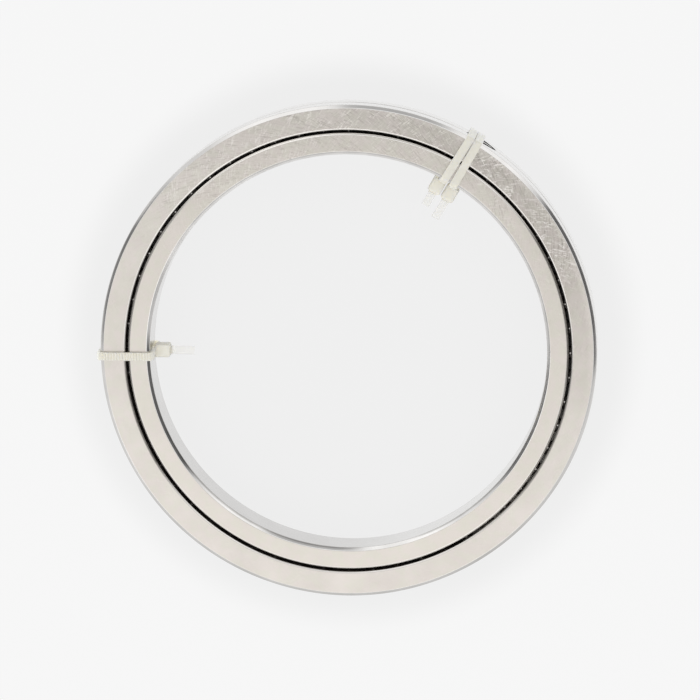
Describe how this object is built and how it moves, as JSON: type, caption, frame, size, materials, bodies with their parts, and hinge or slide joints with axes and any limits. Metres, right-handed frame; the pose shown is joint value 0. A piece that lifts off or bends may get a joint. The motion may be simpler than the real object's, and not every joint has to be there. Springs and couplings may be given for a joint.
{
  "type": "crossed roller bearing",
  "caption": "Thin-section crossed roller bearing: solid inner ring, split outer ring, rollers leaning alternately in and out in a V-shaped track, with spacers between.",
  "frame": {"origin": "centre of the bearing on its back face", "axes": "+Z along the turning axis, from the back face to the front face; +X to the right and +Y up as the front face is seen"},
  "size_m": [0.15, 0.15, 0.016],
  "materials": {
    "ring_steel": "ground",
    "roller_steel": "polished",
    "spacer_nylon": "moulded",
    "tie_nylon": "moulded"
  },
  "bodies": {
    "outer_ring": {"outer_ring_upper": "ring_steel", "outer_ring_lower": "ring_steel"},
    "inner_ring": {"inner_ring": "ring_steel"},
    "roller_set": {"spacers": "spacer_nylon"},
    "roller_01": {"roller_01": "roller_steel"},
    "roller_02": {"roller_02": "roller_steel"},
    "roller_03": {"roller_03": "roller_steel"},
    "roller_04": {"roller_04": "roller_steel"},
    "roller_05": {"roller_05": "roller_steel"},
    "roller_06": {"roller_06": "roller_steel"},
    "roller_07": {"roller_07": "roller_steel"},
    "roller_08": {"roller_08": "roller_steel"},
    "roller_09": {"roller_09": "roller_steel"},
    "roller_10": {"roller_10": "roller_steel"},
    "roller_11": {"roller_11": "roller_steel"},
    "roller_12": {"roller_12": "roller_steel"},
    "roller_13": {"roller_13": "roller_steel"},
    "roller_14": {"roller_14": "roller_steel"},
    "roller_15": {"roller_15": "roller_steel"},
    "roller_16": {"roller_16": "roller_steel"},
    "roller_17": {"roller_17": "roller_steel"},
    "roller_18": {"roller_18": "roller_steel"},
    "roller_19": {"roller_19": "roller_steel"},
    "roller_20": {"roller_20": "roller_steel"},
    "roller_21": {"roller_21": "roller_steel"},
    "roller_22": {"roller_22": "roller_steel"},
    "roller_23": {"roller_23": "roller_steel"},
    "roller_24": {"roller_24": "roller_steel"},
    "roller_25": {"roller_25": "roller_steel"},
    "roller_26": {"roller_26": "roller_steel"},
    "roller_27": {"roller_27": "roller_steel"},
    "roller_28": {"roller_28": "roller_steel"},
    "roller_29": {"roller_29": "roller_steel"},
    "roller_30": {"roller_30": "roller_steel"},
    "roller_31": {"roller_31": "roller_steel"},
    "roller_32": {"roller_32": "roller_steel"},
    "roller_33": {"roller_33": "roller_steel"},
    "roller_34": {"roller_34": "roller_steel"},
    "roller_35": {"roller_35": "roller_steel"},
    "roller_36": {"roller_36": "roller_steel"},
    "roller_37": {"roller_37": "roller_steel"},
    "roller_38": {"roller_38": "roller_steel"},
    "roller_39": {"roller_39": "roller_steel"},
    "roller_40": {"roller_40": "roller_steel"},
    "roller_41": {"roller_41": "roller_steel"},
    "roller_42": {"roller_42": "roller_steel"},
    "roller_43": {"roller_43": "roller_steel"},
    "roller_44": {"roller_44": "roller_steel"},
    "roller_45": {"roller_45": "roller_steel"},
    "roller_46": {"roller_46": "roller_steel"},
    "roller_47": {"roller_47": "roller_steel"},
    "roller_48": {"roller_48": "roller_steel"},
    "roller_49": {"roller_49": "roller_steel"},
    "roller_50": {"roller_50": "roller_steel"},
    "roller_51": {"roller_51": "roller_steel"},
    "roller_52": {"roller_52": "roller_steel"},
    "roller_53": {"roller_53": "roller_steel"},
    "roller_54": {"roller_54": "roller_steel"},
    "roller_55": {"roller_55": "roller_steel"},
    "roller_56": {"roller_56": "roller_steel"}
  },
  "joints": [
    {"name": "inner_ring_spin", "type": "hinge", "parent": "outer_ring", "child": "inner_ring", "pos_m": [0, 0, 0.008], "axis": [0, 0, 1], "continuous": true},
    {"name": "roller_set_orbit", "type": "hinge", "parent": "outer_ring", "child": "roller_set", "pos_m": [0, 0, 0.008], "axis": [0, 0, 1], "continuous": true},
    {"name": "roller_01_spin", "type": "hinge", "parent": "roller_set", "child": "roller_01", "pos_m": [0.067, 0, 0.008], "axis": [0.7071, 0, 0.7071], "continuous": true},
    {"name": "roller_02_spin", "type": "hinge", "parent": "roller_set", "child": "roller_02", "pos_m": [0.06658, 0.0075, 0.008], "axis": [-0.7027, -0.0792, 0.7071], "continuous": true},
    {"name": "roller_03_spin", "type": "hinge", "parent": "roller_set", "child": "roller_03", "pos_m": [0.06532, 0.01491, 0.008], "axis": [0.6894, 0.1573, 0.7071], "continuous": true},
    {"name": "roller_04_spin", "type": "hinge", "parent": "roller_set", "child": "roller_04", "pos_m": [0.06324, 0.02213, 0.008], "axis": [-0.6674, -0.2335, 0.7071], "continuous": true},
    {"name": "roller_05_spin", "type": "hinge", "parent": "roller_set", "child": "roller_05", "pos_m": [0.06036, 0.02907, 0.008], "axis": [0.6371, 0.3068, 0.7071], "continuous": true},
    {"name": "roller_06_spin", "type": "hinge", "parent": "roller_set", "child": "roller_06", "pos_m": [0.05673, 0.03565, 0.008], "axis": [-0.5987, -0.3762, 0.7071], "continuous": true},
    {"name": "roller_07_spin", "type": "hinge", "parent": "roller_set", "child": "roller_07", "pos_m": [0.05238, 0.04177, 0.008], "axis": [0.5528, 0.4409, 0.7071], "continuous": true},
    {"name": "roller_08_spin", "type": "hinge", "parent": "roller_set", "child": "roller_08", "pos_m": [0.04738, 0.04738, 0.008], "axis": [-0.5, -0.5, 0.7071], "continuous": true},
    {"name": "roller_09_spin", "type": "hinge", "parent": "roller_set", "child": "roller_09", "pos_m": [0.04177, 0.05238, 0.008], "axis": [0.4409, 0.5528, 0.7071], "continuous": true},
    {"name": "roller_10_spin", "type": "hinge", "parent": "roller_set", "child": "roller_10", "pos_m": [0.03565, 0.05673, 0.008], "axis": [-0.3762, -0.5987, 0.7071], "continuous": true},
    {"name": "roller_11_spin", "type": "hinge", "parent": "roller_set", "child": "roller_11", "pos_m": [0.02907, 0.06036, 0.008], "axis": [0.3068, 0.6371, 0.7071], "continuous": true},
    {"name": "roller_12_spin", "type": "hinge", "parent": "roller_set", "child": "roller_12", "pos_m": [0.02213, 0.06324, 0.008], "axis": [-0.2335, -0.6674, 0.7071], "continuous": true},
    {"name": "roller_13_spin", "type": "hinge", "parent": "roller_set", "child": "roller_13", "pos_m": [0.01491, 0.06532, 0.008], "axis": [0.1573, 0.6894, 0.7071], "continuous": true},
    {"name": "roller_14_spin", "type": "hinge", "parent": "roller_set", "child": "roller_14", "pos_m": [0.0075, 0.06658, 0.008], "axis": [-0.0792, -0.7027, 0.7071], "continuous": true},
    {"name": "roller_15_spin", "type": "hinge", "parent": "roller_set", "child": "roller_15", "pos_m": [0, 0.067, 0.008], "axis": [0, 0.7071, 0.7071], "continuous": true},
    {"name": "roller_16_spin", "type": "hinge", "parent": "roller_set", "child": "roller_16", "pos_m": [-0.0075, 0.06658, 0.008], "axis": [0.0792, -0.7027, 0.7071], "continuous": true},
    {"name": "roller_17_spin", "type": "hinge", "parent": "roller_set", "child": "roller_17", "pos_m": [-0.01491, 0.06532, 0.008], "axis": [-0.1573, 0.6894, 0.7071], "continuous": true},
    {"name": "roller_18_spin", "type": "hinge", "parent": "roller_set", "child": "roller_18", "pos_m": [-0.02213, 0.06324, 0.008], "axis": [0.2335, -0.6674, 0.7071], "continuous": true},
    {"name": "roller_19_spin", "type": "hinge", "parent": "roller_set", "child": "roller_19", "pos_m": [-0.02907, 0.06036, 0.008], "axis": [-0.3068, 0.6371, 0.7071], "continuous": true},
    {"name": "roller_20_spin", "type": "hinge", "parent": "roller_set", "child": "roller_20", "pos_m": [-0.03565, 0.05673, 0.008], "axis": [0.3762, -0.5987, 0.7071], "continuous": true},
    {"name": "roller_21_spin", "type": "hinge", "parent": "roller_set", "child": "roller_21", "pos_m": [-0.04177, 0.05238, 0.008], "axis": [-0.4409, 0.5528, 0.7071], "continuous": true},
    {"name": "roller_22_spin", "type": "hinge", "parent": "roller_set", "child": "roller_22", "pos_m": [-0.04738, 0.04738, 0.008], "axis": [0.5, -0.5, 0.7071], "continuous": true},
    {"name": "roller_23_spin", "type": "hinge", "parent": "roller_set", "child": "roller_23", "pos_m": [-0.05238, 0.04177, 0.008], "axis": [-0.5528, 0.4409, 0.7071], "continuous": true},
    {"name": "roller_24_spin", "type": "hinge", "parent": "roller_set", "child": "roller_24", "pos_m": [-0.05673, 0.03565, 0.008], "axis": [0.5987, -0.3762, 0.7071], "continuous": true},
    {"name": "roller_25_spin", "type": "hinge", "parent": "roller_set", "child": "roller_25", "pos_m": [-0.06036, 0.02907, 0.008], "axis": [-0.6371, 0.3068, 0.7071], "continuous": true},
    {"name": "roller_26_spin", "type": "hinge", "parent": "roller_set", "child": "roller_26", "pos_m": [-0.06324, 0.02213, 0.008], "axis": [0.6674, -0.2335, 0.7071], "continuous": true},
    {"name": "roller_27_spin", "type": "hinge", "parent": "roller_set", "child": "roller_27", "pos_m": [-0.06532, 0.01491, 0.008], "axis": [-0.6894, 0.1573, 0.7071], "continuous": true},
    {"name": "roller_28_spin", "type": "hinge", "parent": "roller_set", "child": "roller_28", "pos_m": [-0.06658, 0.0075, 0.008], "axis": [0.7027, -0.0792, 0.7071], "continuous": true},
    {"name": "roller_29_spin", "type": "hinge", "parent": "roller_set", "child": "roller_29", "pos_m": [-0.067, 0, 0.008], "axis": [-0.7071, 0, 0.7071], "continuous": true},
    {"name": "roller_30_spin", "type": "hinge", "parent": "roller_set", "child": "roller_30", "pos_m": [-0.06658, -0.0075, 0.008], "axis": [0.7027, 0.0792, 0.7071], "continuous": true},
    {"name": "roller_31_spin", "type": "hinge", "parent": "roller_set", "child": "roller_31", "pos_m": [-0.06532, -0.01491, 0.008], "axis": [-0.6894, -0.1573, 0.7071], "continuous": true},
    {"name": "roller_32_spin", "type": "hinge", "parent": "roller_set", "child": "roller_32", "pos_m": [-0.06324, -0.02213, 0.008], "axis": [0.6674, 0.2335, 0.7071], "continuous": true},
    {"name": "roller_33_spin", "type": "hinge", "parent": "roller_set", "child": "roller_33", "pos_m": [-0.06036, -0.02907, 0.008], "axis": [-0.6371, -0.3068, 0.7071], "continuous": true},
    {"name": "roller_34_spin", "type": "hinge", "parent": "roller_set", "child": "roller_34", "pos_m": [-0.05673, -0.03565, 0.008], "axis": [0.5987, 0.3762, 0.7071], "continuous": true},
    {"name": "roller_35_spin", "type": "hinge", "parent": "roller_set", "child": "roller_35", "pos_m": [-0.05238, -0.04177, 0.008], "axis": [-0.5528, -0.4409, 0.7071], "continuous": true},
    {"name": "roller_36_spin", "type": "hinge", "parent": "roller_set", "child": "roller_36", "pos_m": [-0.04738, -0.04738, 0.008], "axis": [0.5, 0.5, 0.7071], "continuous": true},
    {"name": "roller_37_spin", "type": "hinge", "parent": "roller_set", "child": "roller_37", "pos_m": [-0.04177, -0.05238, 0.008], "axis": [-0.4409, -0.5528, 0.7071], "continuous": true},
    {"name": "roller_38_spin", "type": "hinge", "parent": "roller_set", "child": "roller_38", "pos_m": [-0.03565, -0.05673, 0.008], "axis": [0.3762, 0.5987, 0.7071], "continuous": true},
    {"name": "roller_39_spin", "type": "hinge", "parent": "roller_set", "child": "roller_39", "pos_m": [-0.02907, -0.06036, 0.008], "axis": [-0.3068, -0.6371, 0.7071], "continuous": true},
    {"name": "roller_40_spin", "type": "hinge", "parent": "roller_set", "child": "roller_40", "pos_m": [-0.02213, -0.06324, 0.008], "axis": [0.2335, 0.6674, 0.7071], "continuous": true},
    {"name": "roller_41_spin", "type": "hinge", "parent": "roller_set", "child": "roller_41", "pos_m": [-0.01491, -0.06532, 0.008], "axis": [-0.1573, -0.6894, 0.7071], "continuous": true},
    {"name": "roller_42_spin", "type": "hinge", "parent": "roller_set", "child": "roller_42", "pos_m": [-0.0075, -0.06658, 0.008], "axis": [0.0792, 0.7027, 0.7071], "continuous": true},
    {"name": "roller_43_spin", "type": "hinge", "parent": "roller_set", "child": "roller_43", "pos_m": [0, -0.067, 0.008], "axis": [0, -0.7071, 0.7071], "continuous": true},
    {"name": "roller_44_spin", "type": "hinge", "parent": "roller_set", "child": "roller_44", "pos_m": [0.0075, -0.06658, 0.008], "axis": [-0.0792, 0.7027, 0.7071], "continuous": true},
    {"name": "roller_45_spin", "type": "hinge", "parent": "roller_set", "child": "roller_45", "pos_m": [0.01491, -0.06532, 0.008], "axis": [0.1573, -0.6894, 0.7071], "continuous": true},
    {"name": "roller_46_spin", "type": "hinge", "parent": "roller_set", "child": "roller_46", "pos_m": [0.02213, -0.06324, 0.008], "axis": [-0.2335, 0.6674, 0.7071], "continuous": true},
    {"name": "roller_47_spin", "type": "hinge", "parent": "roller_set", "child": "roller_47", "pos_m": [0.02907, -0.06036, 0.008], "axis": [0.3068, -0.6371, 0.7071], "continuous": true},
    {"name": "roller_48_spin", "type": "hinge", "parent": "roller_set", "child": "roller_48", "pos_m": [0.03565, -0.05673, 0.008], "axis": [-0.3762, 0.5987, 0.7071], "continuous": true},
    {"name": "roller_49_spin", "type": "hinge", "parent": "roller_set", "child": "roller_49", "pos_m": [0.04177, -0.05238, 0.008], "axis": [0.4409, -0.5528, 0.7071], "continuous": true},
    {"name": "roller_50_spin", "type": "hinge", "parent": "roller_set", "child": "roller_50", "pos_m": [0.04738, -0.04738, 0.008], "axis": [-0.5, 0.5, 0.7071], "continuous": true},
    {"name": "roller_51_spin", "type": "hinge", "parent": "roller_set", "child": "roller_51", "pos_m": [0.05238, -0.04177, 0.008], "axis": [0.5528, -0.4409, 0.7071], "continuous": true},
    {"name": "roller_52_spin", "type": "hinge", "parent": "roller_set", "child": "roller_52", "pos_m": [0.05673, -0.03565, 0.008], "axis": [-0.5987, 0.3762, 0.7071], "continuous": true},
    {"name": "roller_53_spin", "type": "hinge", "parent": "roller_set", "child": "roller_53", "pos_m": [0.06036, -0.02907, 0.008], "axis": [0.6371, -0.3068, 0.7071], "continuous": true},
    {"name": "roller_54_spin", "type": "hinge", "parent": "roller_set", "child": "roller_54", "pos_m": [0.06324, -0.02213, 0.008], "axis": [-0.6674, 0.2335, 0.7071], "continuous": true},
    {"name": "roller_55_spin", "type": "hinge", "parent": "roller_set", "child": "roller_55", "pos_m": [0.06532, -0.01491, 0.008], "axis": [0.6894, -0.1573, 0.7071], "continuous": true},
    {"name": "roller_56_spin", "type": "hinge", "parent": "roller_set", "child": "roller_56", "pos_m": [0.06658, -0.0075, 0.008], "axis": [-0.7027, 0.0792, 0.7071], "continuous": true}
  ],
  "couplings": [
    {"joint": "roller_set_orbit", "follows": "inner_ring_spin", "ratio": 0.48417},
    {"joint": "roller_01_spin", "follows": "inner_ring_spin", "ratio": -11.155},
    {"joint": "roller_02_spin", "follows": "inner_ring_spin", "ratio": -11.155},
    {"joint": "roller_03_spin", "follows": "inner_ring_spin", "ratio": -11.155},
    {"joint": "roller_04_spin", "follows": "inner_ring_spin", "ratio": -11.155},
    {"joint": "roller_05_spin", "follows": "inner_ring_spin", "ratio": -11.155},
    {"joint": "roller_06_spin", "follows": "inner_ring_spin", "ratio": -11.155},
    {"joint": "roller_07_spin", "follows": "inner_ring_spin", "ratio": -11.155},
    {"joint": "roller_08_spin", "follows": "inner_ring_spin", "ratio": -11.155},
    {"joint": "roller_09_spin", "follows": "inner_ring_spin", "ratio": -11.155},
    {"joint": "roller_10_spin", "follows": "inner_ring_spin", "ratio": -11.155},
    {"joint": "roller_11_spin", "follows": "inner_ring_spin", "ratio": -11.155},
    {"joint": "roller_12_spin", "follows": "inner_ring_spin", "ratio": -11.155},
    {"joint": "roller_13_spin", "follows": "inner_ring_spin", "ratio": -11.155},
    {"joint": "roller_14_spin", "follows": "inner_ring_spin", "ratio": -11.155},
    {"joint": "roller_15_spin", "follows": "inner_ring_spin", "ratio": -11.155},
    {"joint": "roller_16_spin", "follows": "inner_ring_spin", "ratio": -11.155},
    {"joint": "roller_17_spin", "follows": "inner_ring_spin", "ratio": -11.155},
    {"joint": "roller_18_spin", "follows": "inner_ring_spin", "ratio": -11.155},
    {"joint": "roller_19_spin", "follows": "inner_ring_spin", "ratio": -11.155},
    {"joint": "roller_20_spin", "follows": "inner_ring_spin", "ratio": -11.155},
    {"joint": "roller_21_spin", "follows": "inner_ring_spin", "ratio": -11.155},
    {"joint": "roller_22_spin", "follows": "inner_ring_spin", "ratio": -11.155},
    {"joint": "roller_23_spin", "follows": "inner_ring_spin", "ratio": -11.155},
    {"joint": "roller_24_spin", "follows": "inner_ring_spin", "ratio": -11.155},
    {"joint": "roller_25_spin", "follows": "inner_ring_spin", "ratio": -11.155},
    {"joint": "roller_26_spin", "follows": "inner_ring_spin", "ratio": -11.155},
    {"joint": "roller_27_spin", "follows": "inner_ring_spin", "ratio": -11.155},
    {"joint": "roller_28_spin", "follows": "inner_ring_spin", "ratio": -11.155},
    {"joint": "roller_29_spin", "follows": "inner_ring_spin", "ratio": -11.155},
    {"joint": "roller_30_spin", "follows": "inner_ring_spin", "ratio": -11.155},
    {"joint": "roller_31_spin", "follows": "inner_ring_spin", "ratio": -11.155},
    {"joint": "roller_32_spin", "follows": "inner_ring_spin", "ratio": -11.155},
    {"joint": "roller_33_spin", "follows": "inner_ring_spin", "ratio": -11.155},
    {"joint": "roller_34_spin", "follows": "inner_ring_spin", "ratio": -11.155},
    {"joint": "roller_35_spin", "follows": "inner_ring_spin", "ratio": -11.155},
    {"joint": "roller_36_spin", "follows": "inner_ring_spin", "ratio": -11.155},
    {"joint": "roller_37_spin", "follows": "inner_ring_spin", "ratio": -11.155},
    {"joint": "roller_38_spin", "follows": "inner_ring_spin", "ratio": -11.155},
    {"joint": "roller_39_spin", "follows": "inner_ring_spin", "ratio": -11.155},
    {"joint": "roller_40_spin", "follows": "inner_ring_spin", "ratio": -11.155},
    {"joint": "roller_41_spin", "follows": "inner_ring_spin", "ratio": -11.155},
    {"joint": "roller_42_spin", "follows": "inner_ring_spin", "ratio": -11.155},
    {"joint": "roller_43_spin", "follows": "inner_ring_spin", "ratio": -11.155},
    {"joint": "roller_44_spin", "follows": "inner_ring_spin", "ratio": -11.155},
    {"joint": "roller_45_spin", "follows": "inner_ring_spin", "ratio": -11.155},
    {"joint": "roller_46_spin", "follows": "inner_ring_spin", "ratio": -11.155},
    {"joint": "roller_47_spin", "follows": "inner_ring_spin", "ratio": -11.155},
    {"joint": "roller_48_spin", "follows": "inner_ring_spin", "ratio": -11.155},
    {"joint": "roller_49_spin", "follows": "inner_ring_spin", "ratio": -11.155},
    {"joint": "roller_50_spin", "follows": "inner_ring_spin", "ratio": -11.155},
    {"joint": "roller_51_spin", "follows": "inner_ring_spin", "ratio": -11.155},
    {"joint": "roller_52_spin", "follows": "inner_ring_spin", "ratio": -11.155},
    {"joint": "roller_53_spin", "follows": "inner_ring_spin", "ratio": -11.155},
    {"joint": "roller_54_spin", "follows": "inner_ring_spin", "ratio": -11.155},
    {"joint": "roller_55_spin", "follows": "inner_ring_spin", "ratio": -11.155},
    {"joint": "roller_56_spin", "follows": "inner_ring_spin", "ratio": -11.155}
  ]
}
